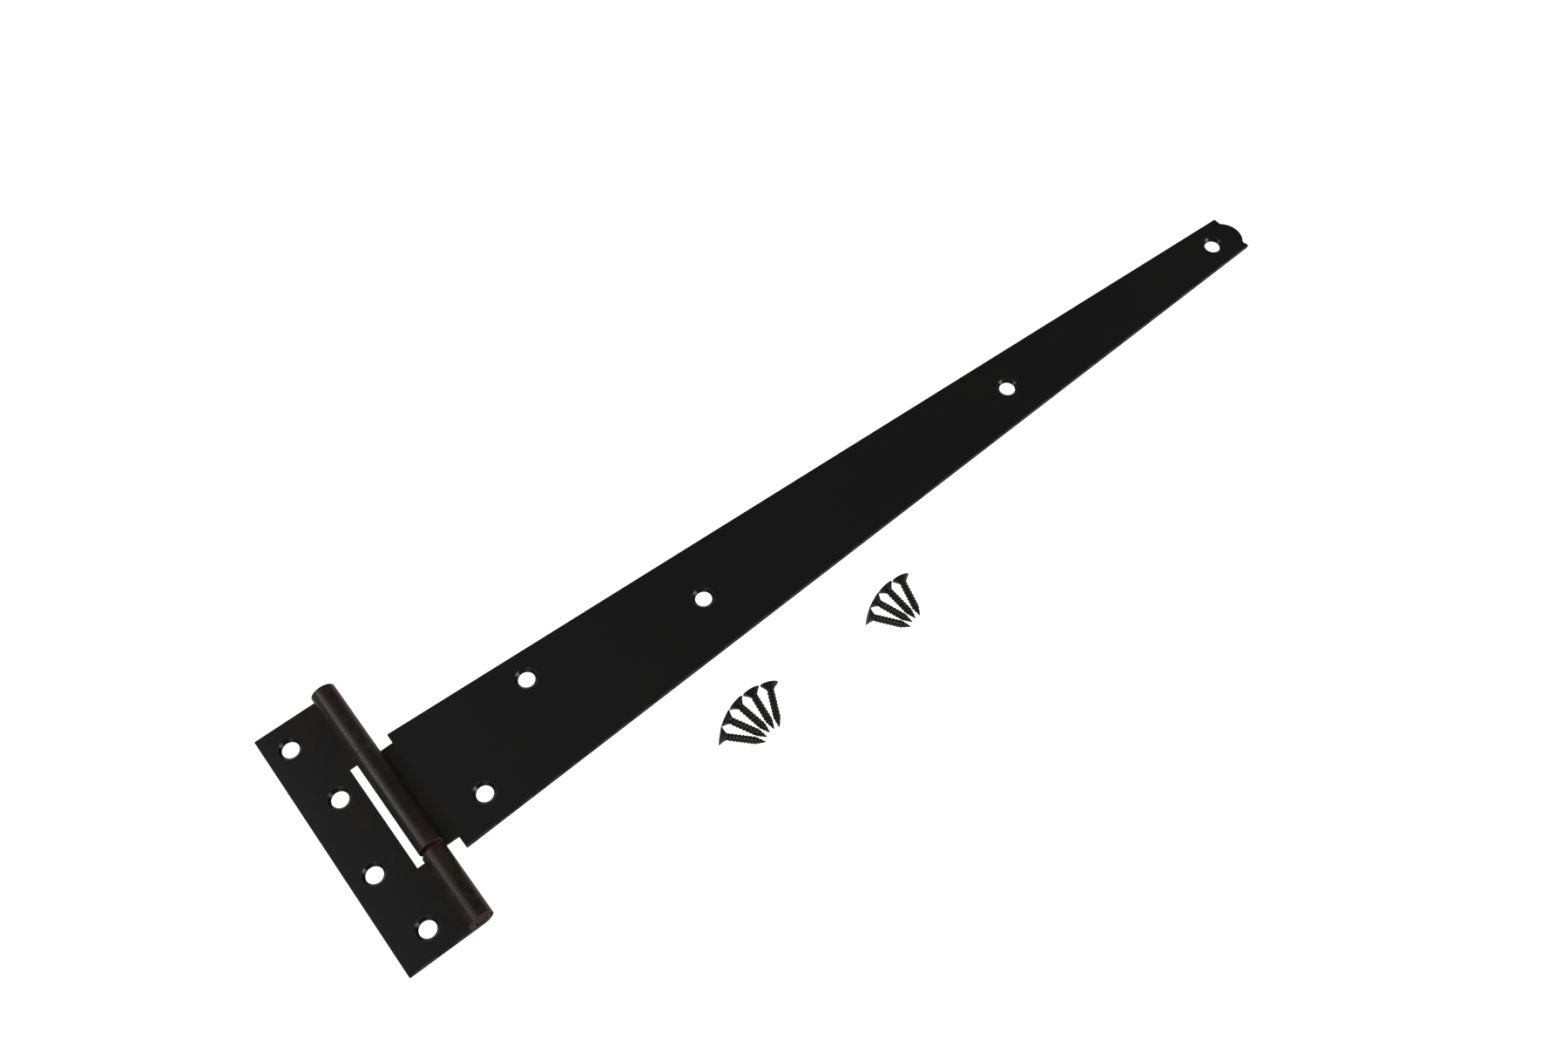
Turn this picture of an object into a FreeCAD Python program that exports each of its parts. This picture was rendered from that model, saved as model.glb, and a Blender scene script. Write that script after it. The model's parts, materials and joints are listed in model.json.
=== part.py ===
import FreeCAD, Part
import math
import os

import Sketcher
from FreeCAD import Placement, Rotation, Vector

# Steel tee hinge, lying open and flat on its back faces.
# X runs from the pin axis along the strap, Y along the pin, Z up from the back faces.
# The origin is on the back plane, straight below the middle of the pin.

SIZES = [
    ("plate_thickness", 2.0, "steel sheet of both leaves"),
    ("flap_length", 114.0, "flap along the pin"),
    ("flap_reach", 31.2, "pin axis to the flap's free edge"),
    ("slot_room", 2.95, "slot in the flap beyond the strap's knuckle"),
    ("knuckle_opening", 49.5, "between the flap's two knuckles"),
    ("strap_reach", 447.1, "pin axis to the strap's end corners"),
    ("shoulder_step", 4.85, "each shoulder out from the neck"),
    ("strap_end_width", 20.6, "strap across its end corners"),
    ("strap_offset", -0.6, "strap's centre line from the middle of the pin"),
    ("shoulder_room", 5.4, "strap's shoulders beyond the flap's knuckles"),
    ("neck_play", 2.2, "neck narrower than the opening, both sides together"),
    ("nose_width", 14.4, "round nose across its foot"),
    ("nose_bulge", 3.4, "nose beyond the end corners"),
    ("nose_shift", -0.4, "middle of the nose from the strap's centre line"),
    ("corner_radius", 0.4, "outline corners"),
    ("ear_reach", 1.1, "end corner on the -Y side beyond the one on the +Y side"),
    ("nose_hollow", 2.0, "hollow corner beside the nose on the -Y side"),
    ("nose_corner", 0.3, "hollow corner beside the nose on the +Y side"),
    ("knuckle_bore", 6.0, "inside of every rolled knuckle"),
    ("seam_gap", 0.15, "between a knuckle's rolled end and its plate"),
    ("running_clearance", 0.05, "radial, pin in the strap's knuckle"),
    ("end_play", 2.5, "strap's knuckle shorter than the opening"),
    ("joint_gap", 0.3, "strap's knuckle to the knuckle it rests against"),
    ("pin_dome", 0.6, "chamfer of the pin's ends"),
    ("pin_recess", 0.25, "pin ends below the knuckle ends"),
    ("hole_diameter", 6.8, "screw holes"),
    ("sink_diameter", 9.2, "countersinks at the front face"),
    ("sink_angle", 90.0, "countersinks, full angle in degrees"),
    ("flap_row_outer", 21.7, "pin axis to the flap's outer row of holes"),
    ("flap_row_inner", 16.9, "pin axis to the flap's inner row of holes"),
    ("flap_hole_edge", 11.0, "end holes to the flap's ends"),
    ("flap_hole_mid", 16.7, "middle of the flap to its middle holes"),
    ("strap_stagger", 14.8, "centre line to the two staggered holes"),
    ("strap_hole_1", 27.1, "pin axis to the first strap hole"),
    ("strap_hole_2", 65.5, "pin axis to the second strap hole"),
    ("strap_hole_edge", 11.9, "last strap hole to the end corners"),
    ("share_3", 0.2048, "third hole, as a share of the way from second to last"),
    ("share_4", 0.653, "fourth hole, as a share of the same way"),
    ("screw_length", 18.0, "screw from face to point"),
    ("head_diameter", 7.2, "screw head"),
    ("head_rim", 0.35, "straight rim of the head"),
    ("thread_diameter", 3.2, "over the thread crests"),
    ("point_length", 4.0, "tapered point"),
    ("recess_width", 1.1, "arms of the cross recess"),
    ("recess_span", 4.2, "cross recess from tip to tip"),
    ("recess_depth", 1.6, "cross recess"),
    ("fan_pitch", 18.0, "loose screws in a fan, degrees from one to the next"),
    ("fan_gap", 0.156, "between neighbouring screws where they lie closest"),
]

# Where each fan of loose screws lies: centre, middle direction in degrees and the leaf it serves.
FANS = [
    ("strap", 5, Vector(127.6, -69.8, 0), 101.0),
    ("flap", 4, Vector(202.6, -67.6, 0), 103.5),
]

doc = FreeCAD.newDocument("TeeHinge")


def fill_sheet():
    sheet = doc.addObject("Spreadsheet::Sheet", "Sizes")
    for row, (alias, value, note) in enumerate(SIZES, start=1):
        sheet.set(f"A{row}", alias)
        sheet.set(f"B{row}", str(value))
        sheet.setAlias(f"B{row}", alias)
        sheet.set(f"C{row}", note)
    doc.recompute()
    return sheet


sheet = fill_sheet()


def cell(alias):
    return f"Sizes.{alias}"


def size(alias):
    return float(sheet.get(alias))


def new_body(label):
    body = doc.addObject("PartDesign::Body", label)
    body.Label = label
    return body


def plane_of(body, role):
    return next(item for item in body.Origin.OriginFeatures if item.Role == role)


def new_sketch(body, name, role="XY_Plane", lift=None):
    """A sketch on one of the body's own planes, lifted off it by an expression."""
    sketch = body.newObject("Sketcher::SketchObject", f"{body.Label}_{name}")
    sketch.AttachmentSupport = [(plane_of(body, role), "")]
    sketch.MapMode = "FlatFace"
    if lift:
        sketch.setExpression(".AttachmentOffset.Base.z", lift)
    return sketch


def value_of(expression):
    """The number that an expression of the sheet stands for, to draw the first shape with."""
    probe = sheet.evalExpression(expression.replace("Sizes.", ""))
    return float(getattr(probe, "Value", probe))


def bind(sketch, kind, *where, expression):
    """A dimension of the sketch that follows an expression of the sheet."""
    index = sketch.addConstraint(Sketcher.Constraint(kind, *where, value_of(expression)))
    sketch.setExpression(f"Constraints[{index}]", expression)


def place_point(sketch, edge, end, across, up):
    """Ties one end of an edge to the sketch's origin by two expressions."""
    bind(sketch, "DistanceX", -1, 1, edge, end, expression=across)
    bind(sketch, "DistanceY", -1, 1, edge, end, expression=up)


def draw_path(sketch, points, closed=True):
    """Straight edges through points given as pairs of expressions."""
    spots = [Vector(value_of(across), value_of(up), 0) for across, up in points]
    count = len(points) if closed else len(points) - 1
    edges = []
    for step in range(count):
        line = Part.LineSegment(spots[step], spots[(step + 1) % len(spots)])
        edges.append(sketch.addGeometry(line, False))
        place_point(sketch, edges[-1], 1, *points[step])
        if step:
            sketch.addConstraint(Sketcher.Constraint("Coincident", edges[-2], 2, edges[-1], 1))
    if closed:
        sketch.addConstraint(Sketcher.Constraint("Coincident", edges[-1], 2, edges[0], 1))
    else:
        place_point(sketch, edges[-1], 2, *points[-1])
    return edges


def draw_rectangle(sketch, low, high):
    return draw_path(sketch, [low, (high[0], low[1]), high, (low[0], high[1])])


def draw_holes(sketch, centres):
    for across, up in centres:
        middle = Vector(value_of(across), value_of(up), 0)
        circle = sketch.addGeometry(Part.Circle(middle, Vector(0, 0, 1), 3.0), False)
        place_point(sketch, circle, 3, across, up)
        bind(sketch, "Diameter", circle, expression=cell("hole_diameter"))


def pad(body, sketch, length, midplane=False):
    feature = body.newObject("PartDesign::Pad", f"{sketch.Label}_pad")
    feature.Profile = sketch
    feature.setExpression("Length", length)
    feature.Midplane = midplane
    doc.recompute()
    return feature


def pocket(body, sketch, length=None):
    """A cut straight through the body on both sides of the sketch, or one of a stated depth."""
    feature = body.newObject("PartDesign::Pocket", f"{sketch.Label}_cut")
    feature.Profile = sketch
    if length:
        feature.setExpression("Length", length)
    else:
        feature.Type = "ThroughAll"
        feature.Midplane = True
    doc.recompute()
    return feature


def sink_holes(body, centres):
    """Countersunk screw holes from the front face right through the plate."""
    sketch = new_sketch(body, "hole_centres", lift=cell("plate_thickness"))
    draw_holes(sketch, centres)
    doc.recompute()
    holes = body.newObject("PartDesign::Hole", f"{body.Label}_holes")
    holes.Profile = sketch
    doc.recompute()
    holes.ThreadType = "None"
    holes.DepthType = "ThroughAll"
    holes.HoleCutType = "Countersink"
    holes.HoleCutCustomValues = True
    holes.setExpression("Diameter", cell("hole_diameter"))
    holes.setExpression("HoleCutDiameter", cell("sink_diameter"))
    holes.setExpression("HoleCutCountersinkAngle", cell("sink_angle"))
    doc.recompute()


def round_edges(body, name, radius, chosen):
    """Rounds the upright edges of the plate whose place the rule accepts."""
    base = body.Tip
    names = []
    for number, edge in enumerate(base.Shape.Edges, start=1):
        spots = [vertex.Point for vertex in edge.Vertexes]
        if len(spots) != 2 or edge.Curve.TypeId != "Part::GeomLine":
            continue
        upright = abs(spots[0].x - spots[1].x) < 0.001 and abs(spots[0].y - spots[1].y) < 0.001
        if upright and chosen(spots[0]):
            names.append(f"Edge{number}")
    fillet = body.newObject("PartDesign::Fillet", f"{body.Label}_{name}")
    fillet.Base = (base, names)
    fillet.setExpression("Radius", radius)
    doc.recompute()


def barrel_radius():
    return f"({cell('knuckle_bore')} / 2 + {cell('plate_thickness')})"


def roll_knuckle(body, side, length, shift=None):
    """The plate's edge rolled up and round the pin, with its end just above the plate.

    side is -1 where the plate lies at -X and +1 where it lies at +X.
    """
    sketch = new_sketch(body, "roll", "XZ_Plane", lift=shift)
    outer = barrel_radius()
    inner = f"{cell('knuckle_bore')} / 2"
    end_up = f"({cell('plate_thickness')} + {cell('seam_gap')})"
    axis = Vector(0, value_of(outer), 0)
    end_angle = math.asin((value_of(end_up) - axis.y) / axis.y)
    end_angle = math.pi - end_angle if side < 0 else end_angle
    start = -math.pi / 2
    arcs = []
    for radius in (outer, inner):
        circle = Part.Circle(axis, Vector(0, 0, 1), value_of(radius))
        first, last = (start, end_angle) if side < 0 else (end_angle, start + 2 * math.pi)
        arcs.append(sketch.addGeometry(Part.ArcOfCircle(circle, first, last), False))
        place_point(sketch, arcs[-1], 3, "0", outer)
        bind(sketch, "Radius", arcs[-1], expression=radius)
    foot, lip = (1, 2) if side < 0 else (2, 1)
    spots = [
        [sketch.getPoint(arc, end) for arc in arcs] for end in (foot, lip)
    ]
    for end, (far, near) in zip((foot, lip), spots):
        line = sketch.addGeometry(Part.LineSegment(far, near), False)
        sketch.addConstraint(Sketcher.Constraint("Coincident", line, 1, arcs[0], end))
        sketch.addConstraint(Sketcher.Constraint("Coincident", line, 2, arcs[1], end))
        if end == foot:
            sketch.addConstraint(Sketcher.Constraint("Vertical", line))
        else:
            ray = sketch.addGeometry(Part.LineSegment(axis, far), True)
            sketch.addConstraint(Sketcher.Constraint("Coincident", ray, 1, arcs[0], 3))
            sketch.addConstraint(Sketcher.Constraint("Coincident", ray, 2, arcs[0], end))
            sketch.addConstraint(Sketcher.Constraint("PointOnObject", arcs[1], end, ray))
            bind(sketch, "DistanceY", -1, 1, arcs[0], end, expression=end_up)
    return pad(body, sketch, length, midplane=True)


def make_flap():
    body = new_body("flap_leaf")
    half = f"{cell('flap_length')} / 2"
    sketch = new_sketch(body, "plate")
    draw_rectangle(sketch, (f"-{cell('flap_reach')}", f"-{half}"), ("0", half))
    pad(body, sketch, cell("plate_thickness"))
    roll_knuckle(body, -1, cell("flap_length"))
    slot = new_sketch(body, "slot")
    gap = f"{cell('knuckle_opening')} / 2"
    beyond = f"2 * {barrel_radius()}"
    reach = f"({barrel_radius()} + {cell('slot_room')})"
    draw_rectangle(slot, (f"-{reach}", f"-{gap}"), (beyond, gap))
    pocket(body, slot)
    edge = -size("flap_reach")
    round_edges(body, "corners", cell("corner_radius"), lambda spot: abs(spot.x - edge) < 0.01)
    outer, inner = f"-{cell('flap_row_outer')}", f"-{cell('flap_row_inner')}"
    end, middle = f"({half} - {cell('flap_hole_edge')})", cell("flap_hole_mid")
    sink_holes(body, [(outer, end), (inner, middle), (outer, f"-{middle}"), (inner, f"-{end}")])
    return body


def make_strap():
    body = new_body("strap_leaf")
    neck = f"({cell('knuckle_opening')} - {cell('neck_play')}) / 2"
    base = f"({neck} + {cell('shoulder_step')})"
    end = f"{cell('strap_end_width')} / 2"
    nose = f"{cell('nose_width')} / 2"
    shoulder, reach = f"({barrel_radius()} + {cell('shoulder_room')})", cell("strap_reach")
    middle = cell("strap_offset")

    nose_middle = f"({middle} + {cell('nose_shift')})"
    ear = f"({reach} + {cell('ear_reach')})"

    def outline(sign, corner):
        points = [("0", f"{sign} {neck}"), (shoulder, f"{sign} {neck}")]
        points += [(along, f"{middle} {sign} {half}") for along, half in ((shoulder, base), (corner, end))]
        return points + [(reach, f"{nose_middle} {sign} {nose}")]

    sketch = new_sketch(body, "plate")
    edges = draw_path(sketch, list(reversed(outline("+", reach))) + outline("-", ear), closed=False)
    half, bulge = value_of(nose), size("nose_bulge")
    radius = (bulge ** 2 + half ** 2) / (2 * bulge)
    swing = math.asin(half / radius)
    centre = Vector(size("strap_reach") + bulge - radius, value_of(nose_middle), 0)
    circle = Part.Circle(centre, Vector(0, 0, 1), radius)
    arc = sketch.addGeometry(Part.ArcOfCircle(circle, -swing, swing), False)
    sketch.addConstraint(Sketcher.Constraint("Coincident", arc, 1, edges[-1], 2))
    sketch.addConstraint(Sketcher.Constraint("Coincident", arc, 2, edges[0], 1))
    foot = cell("nose_width")
    rise = cell("nose_bulge")
    bind(sketch, "Radius", arc, expression=f"({rise} ^ 2 + ({foot} / 2) ^ 2) / (2 * {rise})")
    pad(body, sketch, cell("plate_thickness"))
    shift = f"{cell('joint_gap')} - {cell('end_play')} / 2"
    roll_knuckle(body, 1, f"{cell('knuckle_opening')} - {cell('end_play')}", shift)
    wide_corners = [(value_of(x), value_of(y)) for x, y in ((shoulder, base), (reach, end), (ear, end))]

    def is_corner(spot):
        wide = abs(spot.y - size("strap_offset"))
        return any(abs(spot.x - x) < 0.01 and wide > y - 0.01 for x, y in wide_corners)

    def is_foot(side):
        foot = Vector(size("strap_reach"), centre.y + side * half, 0)
        return lambda spot: math.hypot(spot.x - foot.x, spot.y - foot.y) < 0.01

    round_edges(body, "corners", cell("corner_radius"), is_corner)
    round_edges(body, "nose_hollow", cell("nose_hollow"), is_foot(-1))
    round_edges(body, "nose_corner", cell("nose_corner"), is_foot(1))
    second, last = cell("strap_hole_2"), f"({reach} - {cell('strap_hole_edge')})"
    holes = [
        (cell("strap_hole_1"), f"{middle} - {cell('strap_stagger')}"),
        (second, f"{middle} + {cell('strap_stagger')}"),
    ]
    for share in ("share_3", "share_4"):
        holes.append((f"({second} + {cell(share)} * ({last} - {second}))", middle))
    holes.append((last, middle))
    sink_holes(body, holes)
    return body


def make_pin():
    """Tight in the flap's knuckles and relieved where the strap's knuckle turns on it."""
    body = new_body("hinge_pin")
    sketch = new_sketch(body, "profile", "YZ_Plane")
    grip = f"{cell('knuckle_bore')} / 2"
    turned = f"({grip} - {cell('running_clearance')})"
    ends = f"({cell('flap_length')} / 2 - {cell('pin_recess')})"
    gap = f"{cell('knuckle_opening')} / 2"
    dome = cell("pin_dome")
    half = [
        (ends, "0"),
        (ends, f"({grip} - {dome})"),
        (f"({ends} - {dome})", grip),
        (gap, grip),
        (gap, turned),
    ]
    other = [(f"-{along}", up) for along, up in reversed(half)]
    draw_path(sketch, half + other)
    turn = body.newObject("PartDesign::Revolution", "hinge_pin_turned")
    turn.Profile = sketch
    turn.ReferenceAxis = (sketch, ["H_Axis"])
    turn.Angle = 360
    doc.recompute()
    body.setExpression(".Placement.Base.z", barrel_radius())
    return body


def make_screw(label):
    """Countersunk wood screw, pointing along -X with the middle of its face at the origin."""
    body = new_body(label)
    sketch = new_sketch(body, "profile", "XZ_Plane")
    head = f"{cell('head_diameter')} / 2"
    shank = f"{cell('thread_diameter')} / 2"
    cone = f"({cell('head_rim')} + {head} - {shank})"
    points = [
        ("0", "0"),
        ("0", head),
        (f"-{cell('head_rim')}", head),
        (f"-{cone}", shank),
        (f"-({cell('screw_length')} - {cell('point_length')})", shank),
        (f"-{cell('screw_length')}", "0"),
    ]
    draw_path(sketch, points)
    turn = body.newObject("PartDesign::Revolution", f"{label}_turned")
    turn.Profile = sketch
    turn.ReferenceAxis = (sketch, ["H_Axis"])
    turn.Angle = 360
    doc.recompute()
    for number in (1, 2):
        arm = new_sketch(body, f"recess_{number}", "YZ_Plane")
        wide, slim = f"{cell('recess_span')} / 2", f"{cell('recess_width')} / 2"
        corner = (wide, slim) if number == 1 else (slim, wide)
        draw_rectangle(arm, (f"-{corner[0]}", f"-{corner[1]}"), corner)
        pocket(body, arm, cell("recess_depth"))
    return body


def lay_in_fan(body, centre, heading):
    """Rests a screw on its head rim and its first thread, pointing at the fan's centre."""
    length, point, rim = size("screw_length"), size("point_length"), size("head_rim")
    head, crest = size("head_diameter") / 2, size("thread_diameter") / 2
    tilt = math.atan((head - crest) / (length - point - rim))
    rim_low = head * math.cos(tilt) + rim * math.sin(tilt)
    half_pitch = math.radians(size("fan_pitch") / 2)

    def clear_of(radius):
        """How far from the centre two neighbours of this radius are the stated gap apart."""
        half_gap = size("fan_gap") / 2
        return (radius * math.cos(half_pitch) + half_gap) / math.sin(half_pitch)

    level = length * math.cos(tilt)
    reach = max(clear_of(crest) - point + level, clear_of(head) + rim)
    angle = math.radians(heading)
    spot = Vector(reach * math.cos(angle), reach * math.sin(angle), rim_low)
    turn = Rotation(Vector(0, 0, 1), heading)
    lift = Rotation(Vector(0, 1, 0), -math.degrees(tilt))
    body.Placement = Placement(centre + spot, turn.multiply(lift))


def make_screws():
    bodies = []
    for leaf, count, centre, middle in FANS:
        for number in range(1, count + 1):
            body = make_screw(f"{leaf}_screw_{number}")
            heading = middle + size("fan_pitch") * ((count + 1) / 2 - number)
            lay_in_fan(body, centre, heading)
            bodies.append(body)
    return bodies


pieces = [make_flap(), make_strap(), make_pin()] + make_screws()
doc.recompute()


def check_document():
    for item in doc.Objects:
        if "Invalid" in item.State or "Error" in item.State:
            raise RuntimeError(f"{item.Name} did not build: {item.State}")
    for piece in pieces:
        shape = piece.Shape
        if shape.isNull() or not shape.isValid() or len(shape.Solids) != 1:
            raise RuntimeError(f"{piece.Label} is not one sound solid")


check_document()
os.makedirs("parts", exist_ok=True)
for piece in pieces:
    piece.Shape.exportStep(f"parts/{piece.Label}.step")
    print(f"{piece.Label}: {piece.Shape.Volume:.1f} mm3")
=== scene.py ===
import json
import math
import random

import bmesh
import bpy
from mathutils import Matrix, Quaternion, Vector
from mathutils.geometry import delaunay_2d_cdt


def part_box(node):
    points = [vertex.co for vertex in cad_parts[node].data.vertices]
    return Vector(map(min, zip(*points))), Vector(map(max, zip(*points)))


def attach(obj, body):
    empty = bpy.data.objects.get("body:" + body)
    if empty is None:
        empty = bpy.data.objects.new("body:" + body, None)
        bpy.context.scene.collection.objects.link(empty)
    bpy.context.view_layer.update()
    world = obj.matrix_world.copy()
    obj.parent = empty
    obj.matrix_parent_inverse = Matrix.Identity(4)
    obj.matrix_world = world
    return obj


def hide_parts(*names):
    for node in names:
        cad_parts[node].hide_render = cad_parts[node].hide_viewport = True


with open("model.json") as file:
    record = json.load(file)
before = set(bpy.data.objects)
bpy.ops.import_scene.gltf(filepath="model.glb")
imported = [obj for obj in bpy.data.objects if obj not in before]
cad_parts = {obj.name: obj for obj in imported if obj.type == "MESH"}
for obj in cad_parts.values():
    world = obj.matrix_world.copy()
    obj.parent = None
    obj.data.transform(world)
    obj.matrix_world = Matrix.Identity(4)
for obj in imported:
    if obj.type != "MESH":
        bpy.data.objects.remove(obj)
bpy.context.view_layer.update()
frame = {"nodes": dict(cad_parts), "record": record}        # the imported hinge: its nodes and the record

scene = bpy.context.scene
mm = 0.001
record = frame["record"]
print("frame loaded:", len(frame["nodes"]), "nodes")


def addNode(tree, kind, inputs=None, **settings):
    node = tree.nodes.new(kind)
    for name, value in settings.items():
        setattr(node, name, value)
    for name, value in (inputs or {}).items():
        plug(tree, value, node.inputs[name])
    return node


def plug(tree, source, socket):
    if isinstance(source, bpy.types.NodeSocket):
        tree.links.new(source, socket)
    else:
        socket.default_value = source


def calc(tree, operation, first, second=None):
    node = addNode(tree, "ShaderNodeMath", operation=operation)
    for place, value in enumerate((first, second)):
        if value is not None:
            plug(tree, value, node.inputs[place])
    return node.outputs[0]


def ramp(tree, value, low, high, start=0.0, end=1.0, shape="SMOOTHSTEP"):
    node = addNode(tree, "ShaderNodeMapRange", interpolation_type=shape)
    for place, part in enumerate((value, low, high, start, end)):
        plug(tree, part, node.inputs[place])
    return node.outputs[0]


def product(tree, *factors):
    result = factors[0]
    for factor in factors[1:]:
        result = calc(tree, "MULTIPLY", result, factor)
    return result


def fade(tree, value, band, start=0.0, end=1.0):      # band is two distances in mm
    return ramp(tree, value, band[0] * mm, band[1] * mm, start, end)


def blendColours(tree, amount, low, high):
    node = addNode(tree, "ShaderNodeMix", data_type="RGBA")
    plug(tree, amount, node.inputs[0])
    plug(tree, low, node.inputs[6])
    plug(tree, high, node.inputs[7])
    return node.outputs[2]


def newGroup(name, kind, ins, outs):
    tree = bpy.data.node_groups.new(name, kind)
    for label, socket, value in ins:
        item = tree.interface.new_socket(label, in_out="INPUT", socket_type=socket)
        if value is not None:
            item.default_value = value
    for label, socket in outs:
        tree.interface.new_socket(label, in_out="OUTPUT", socket_type=socket)
    start = tree.nodes.new("NodeGroupInput")
    end = tree.nodes.new("NodeGroupOutput")
    return tree, start, end


viewSpot = {
    "place": (-0.0077106, -0.2508358, 0.5506380),
    "turn": (0.9107386, 0.2502797, -0.0814380, -0.3182501),
    "lens": 35.3,
    "sensor": 36.0,
    "clip": (0.01, 20.0),
}


def makeCamera(spot):
    data = bpy.data.cameras.new("viewCamera")
    data.lens, data.sensor_width = spot["lens"], spot["sensor"]
    data.clip_start, data.clip_end = spot["clip"]
    camera = bpy.data.objects.new("viewCamera", data)
    camera.rotation_mode = "QUATERNION"
    camera.location = spot["place"]
    camera.rotation_quaternion = Quaternion(spot["turn"])
    scene.collection.objects.link(camera)
    scene.camera = camera


makeCamera(viewSpot)
scene.view_settings.view_transform = "Standard"
print("camera placed")


def makeGrain():      # fine paint grain over slow unevenness, as a height
    tree, start, end = newGroup("paintGrain", "ShaderNodeTree", [
        ("Vector", "NodeSocketVector", None),
        ("Fine Scale", "NodeSocketFloat", 3200.0),
        ("Fine Height", "NodeSocketFloat", 0.000004),
        ("Slow Scale", "NodeSocketFloat", 90.0),
        ("Slow Height", "NodeSocketFloat", 0.00001),
    ], [("Height", "NodeSocketFloat")])
    fine = addNode(tree, "ShaderNodeTexNoise", {
        "Vector": start.outputs["Vector"], "Scale": start.outputs["Fine Scale"],
        "Detail": 3.0, "Roughness": 0.6})
    slow = addNode(tree, "ShaderNodeTexNoise", {
        "Vector": start.outputs["Vector"], "Scale": start.outputs["Slow Scale"], "Detail": 2.0})
    small = calc(tree, "MULTIPLY", fine.outputs[0], start.outputs["Fine Height"])
    large = calc(tree, "MULTIPLY", slow.outputs[0], start.outputs["Slow Height"])
    plug(tree, calc(tree, "ADD", small, large), end.inputs["Height"])
    return tree


def makeMottle():      # blotches in two sizes, 0 to 1, for tints that come and go
    tree, start, end = newGroup("steelMottle", "ShaderNodeTree", [
        ("Vector", "NodeSocketVector", None),
        ("Scale", "NodeSocketFloat", 200.0),
        ("Coverage", "NodeSocketFloat", 0.5),
        ("Softness", "NodeSocketFloat", 0.15),
    ], [("Mask", "NodeSocketFloat")])
    broad = addNode(tree, "ShaderNodeTexNoise", {
        "Vector": start.outputs["Vector"], "Scale": start.outputs["Scale"],
        "Detail": 5.0, "Roughness": 0.62, "Distortion": 0.4})
    middle = calc(tree, "SUBTRACT", 1.0, start.outputs["Coverage"])
    soft = start.outputs["Softness"]
    low = calc(tree, "SUBTRACT", middle, soft)
    high = calc(tree, "ADD", middle, soft)
    plug(tree, ramp(tree, broad.outputs[0], low, high), end.inputs["Mask"])
    return tree


def makeRub():      # where paint is thin on sheared edges and crests
    tree, start, end = newGroup("edgeRub", "ShaderNodeTree", [
        ("Vector", "NodeSocketVector", None),
        ("Edge", "NodeSocketFloat", 0.0),
        ("Scale", "NodeSocketFloat", 260.0),
        ("Amount", "NodeSocketFloat", 0.5),
    ], [("Mask", "NodeSocketFloat")])
    patches = addNode(tree, "ShaderNodeTexNoise", {
        "Vector": start.outputs["Vector"], "Scale": start.outputs["Scale"],
        "Detail": 4.0, "Roughness": 0.7})
    bareFrom, bareFull = 0.38, 0.66
    spots = ramp(tree, patches.outputs[0], bareFrom, bareFull)
    plug(tree, product(tree, spots, start.outputs["Edge"], start.outputs["Amount"]), end.inputs["Mask"])
    return tree


paintGrain, steelMottle, edgeRub = makeGrain(), makeMottle(), makeRub()


def useGroup(tree, group, **inputs):      # FineScale here is the socket Fine Scale
    node = tree.nodes.new("ShaderNodeGroup")
    node.node_tree = group
    for label, value in inputs.items():
        socket = "".join(" " + letter if letter.isupper() else letter for letter in label).strip()
        plug(tree, value, node.inputs[socket])
    return node.outputs[0]


def addMottle(tree, where, scale, coverage, softness):
    return useGroup(tree, steelMottle, Vector=where, Scale=scale, Coverage=coverage, Softness=softness)


def addRub(tree, where, edge, scale, amount):
    return useGroup(tree, edgeRub, Vector=where, Edge=edge, Scale=scale, Amount=amount)


def addGrain(tree, where, fineScale, fineHeight, slowScale, slowHeight):
    return useGroup(tree, paintGrain, Vector=where, FineScale=fineScale, FineHeight=fineHeight,
                    SlowScale=slowScale, SlowHeight=slowHeight)


def newMaterial(name, roughness, level):
    material = bpy.data.materials.new(name)
    material.use_nodes = True
    tree = material.node_tree
    tree.nodes.clear()
    shader = addNode(tree, "ShaderNodeBsdfPrincipled", {
        "Roughness": roughness, "Specular IOR Level": level})
    out = tree.nodes.new("ShaderNodeOutputMaterial")
    tree.links.new(shader.outputs[0], out.inputs[0])
    where = tree.nodes.new("ShaderNodeTexCoord").outputs["Object"]
    return material, tree, shader, where


def addBump(tree, shader, height):
    bump = addNode(tree, "ShaderNodeBump", {"Strength": 1.0, "Distance": 1.0, "Height": height})
    tree.links.new(bump.outputs[0], shader.inputs["Normal"])


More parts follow.
